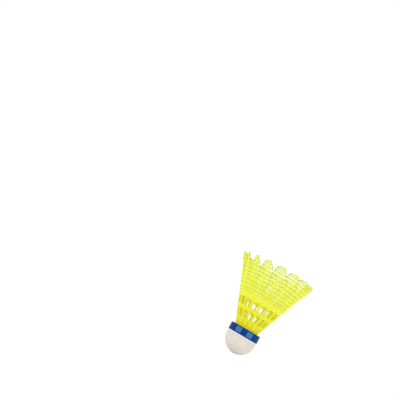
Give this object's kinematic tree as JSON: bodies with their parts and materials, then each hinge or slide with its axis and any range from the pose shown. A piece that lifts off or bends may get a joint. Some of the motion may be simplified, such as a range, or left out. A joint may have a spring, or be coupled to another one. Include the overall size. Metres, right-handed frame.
{
  "type": "badminton shuttlecock",
  "caption": "Badminton shuttlecock with a yellow moulded nylon net skirt, free petal tips, and a white covered cork base with a blue band.",
  "frame": {"origin": "lowest point of the cork's nose, on the axis", "axes": "+Z along the axis from the nose to the rim of the skirt; a petal faces each of +X, +Y, -X and -Y"},
  "size_m": [0.0662, 0.0662, 0.0795],
  "materials": {
    "cork": "natural cork, matte",
    "white_leather": "off-white synthetic leather, satin",
    "blue_band": "printed tape in two blues, satin",
    "yellow_nylon": "fluorescent yellow moulded nylon, translucent, satin"
  },
  "bodies": {
    "shuttlecock": {"cork_core": "cork", "leather_cover": "white_leather", "band": "blue_band", "skirt_collar": "yellow_nylon", "stem_cage": "yellow_nylon", "thick_ring": "yellow_nylon", "vane_01": "yellow_nylon", "vane_02": "yellow_nylon", "vane_03": "yellow_nylon", "vane_04": "yellow_nylon", "vane_05": "yellow_nylon", "vane_06": "yellow_nylon", "vane_07": "yellow_nylon", "vane_08": "yellow_nylon", "vane_09": "yellow_nylon", "vane_10": "yellow_nylon", "vane_11": "yellow_nylon", "vane_12": "yellow_nylon", "vane_13": "yellow_nylon", "vane_14": "yellow_nylon", "vane_15": "yellow_nylon", "vane_16": "yellow_nylon"},
    "petal_01": {"petal_tip_01": "yellow_nylon"},
    "petal_02": {"petal_tip_02": "yellow_nylon"},
    "petal_03": {"petal_tip_03": "yellow_nylon"},
    "petal_04": {"petal_tip_04": "yellow_nylon"},
    "petal_05": {"petal_tip_05": "yellow_nylon"},
    "petal_06": {"petal_tip_06": "yellow_nylon"},
    "petal_07": {"petal_tip_07": "yellow_nylon"},
    "petal_08": {"petal_tip_08": "yellow_nylon"},
    "petal_09": {"petal_tip_09": "yellow_nylon"},
    "petal_10": {"petal_tip_10": "yellow_nylon"},
    "petal_11": {"petal_tip_11": "yellow_nylon"},
    "petal_12": {"petal_tip_12": "yellow_nylon"},
    "petal_13": {"petal_tip_13": "yellow_nylon"},
    "petal_14": {"petal_tip_14": "yellow_nylon"},
    "petal_15": {"petal_tip_15": "yellow_nylon"},
    "petal_16": {"petal_tip_16": "yellow_nylon"}
  },
  "joints": [
    {"name": "petal_01_flex", "type": "hinge", "parent": "shuttlecock", "child": "petal_01", "pos_m": [0.03006, 0, 0.0738], "axis": [0.2545, 0.9671, 0], "range_deg": [-30, 15], "stiffness_Nm_per_rad": 0.002},
    {"name": "petal_02_flex", "type": "hinge", "parent": "shuttlecock", "child": "petal_02", "pos_m": [0.02777, 0.0115, 0.0738], "axis": [-0.1349, 0.9909, 0], "range_deg": [-30, 15], "stiffness_Nm_per_rad": 0.002},
    {"name": "petal_03_flex", "type": "hinge", "parent": "shuttlecock", "child": "petal_03", "pos_m": [0.02125, 0.02125, 0.0738], "axis": [-0.5038, 0.8638, 0], "range_deg": [-30, 15], "stiffness_Nm_per_rad": 0.002},
    {"name": "petal_04_flex", "type": "hinge", "parent": "shuttlecock", "child": "petal_04", "pos_m": [0.0115, 0.02777, 0.0738], "axis": [-0.7961, 0.6052, 0], "range_deg": [-30, 15], "stiffness_Nm_per_rad": 0.002},
    {"name": "petal_05_flex", "type": "hinge", "parent": "shuttlecock", "child": "petal_05", "pos_m": [0, 0.03006, 0.0738], "axis": [-0.9671, 0.2545, 0], "range_deg": [-30, 15], "stiffness_Nm_per_rad": 0.002},
    {"name": "petal_06_flex", "type": "hinge", "parent": "shuttlecock", "child": "petal_06", "pos_m": [-0.0115, 0.02777, 0.0738], "axis": [-0.9909, -0.1349, 0], "range_deg": [-30, 15], "stiffness_Nm_per_rad": 0.002},
    {"name": "petal_07_flex", "type": "hinge", "parent": "shuttlecock", "child": "petal_07", "pos_m": [-0.02125, 0.02125, 0.0738], "axis": [-0.8638, -0.5038, 0], "range_deg": [-30, 15], "stiffness_Nm_per_rad": 0.002},
    {"name": "petal_08_flex", "type": "hinge", "parent": "shuttlecock", "child": "petal_08", "pos_m": [-0.02777, 0.0115, 0.0738], "axis": [-0.6052, -0.7961, 0], "range_deg": [-30, 15], "stiffness_Nm_per_rad": 0.002},
    {"name": "petal_09_flex", "type": "hinge", "parent": "shuttlecock", "child": "petal_09", "pos_m": [-0.03006, 0, 0.0738], "axis": [-0.2545, -0.9671, 0], "range_deg": [-30, 15], "stiffness_Nm_per_rad": 0.002},
    {"name": "petal_10_flex", "type": "hinge", "parent": "shuttlecock", "child": "petal_10", "pos_m": [-0.02777, -0.0115, 0.0738], "axis": [0.1349, -0.9909, 0], "range_deg": [-30, 15], "stiffness_Nm_per_rad": 0.002},
    {"name": "petal_11_flex", "type": "hinge", "parent": "shuttlecock", "child": "petal_11", "pos_m": [-0.02125, -0.02125, 0.0738], "axis": [0.5038, -0.8638, 0], "range_deg": [-30, 15], "stiffness_Nm_per_rad": 0.002},
    {"name": "petal_12_flex", "type": "hinge", "parent": "shuttlecock", "child": "petal_12", "pos_m": [-0.0115, -0.02777, 0.0738], "axis": [0.7961, -0.6052, 0], "range_deg": [-30, 15], "stiffness_Nm_per_rad": 0.002},
    {"name": "petal_13_flex", "type": "hinge", "parent": "shuttlecock", "child": "petal_13", "pos_m": [0, -0.03006, 0.0738], "axis": [0.9671, -0.2545, 0], "range_deg": [-30, 15], "stiffness_Nm_per_rad": 0.002},
    {"name": "petal_14_flex", "type": "hinge", "parent": "shuttlecock", "child": "petal_14", "pos_m": [0.0115, -0.02777, 0.0738], "axis": [0.9909, 0.1349, 0], "range_deg": [-30, 15], "stiffness_Nm_per_rad": 0.002},
    {"name": "petal_15_flex", "type": "hinge", "parent": "shuttlecock", "child": "petal_15", "pos_m": [0.02125, -0.02125, 0.0738], "axis": [0.8638, 0.5038, 0], "range_deg": [-30, 15], "stiffness_Nm_per_rad": 0.002},
    {"name": "petal_16_flex", "type": "hinge", "parent": "shuttlecock", "child": "petal_16", "pos_m": [0.02777, -0.0115, 0.0738], "axis": [0.6052, 0.7961, 0], "range_deg": [-30, 15], "stiffness_Nm_per_rad": 0.002}
  ]
}
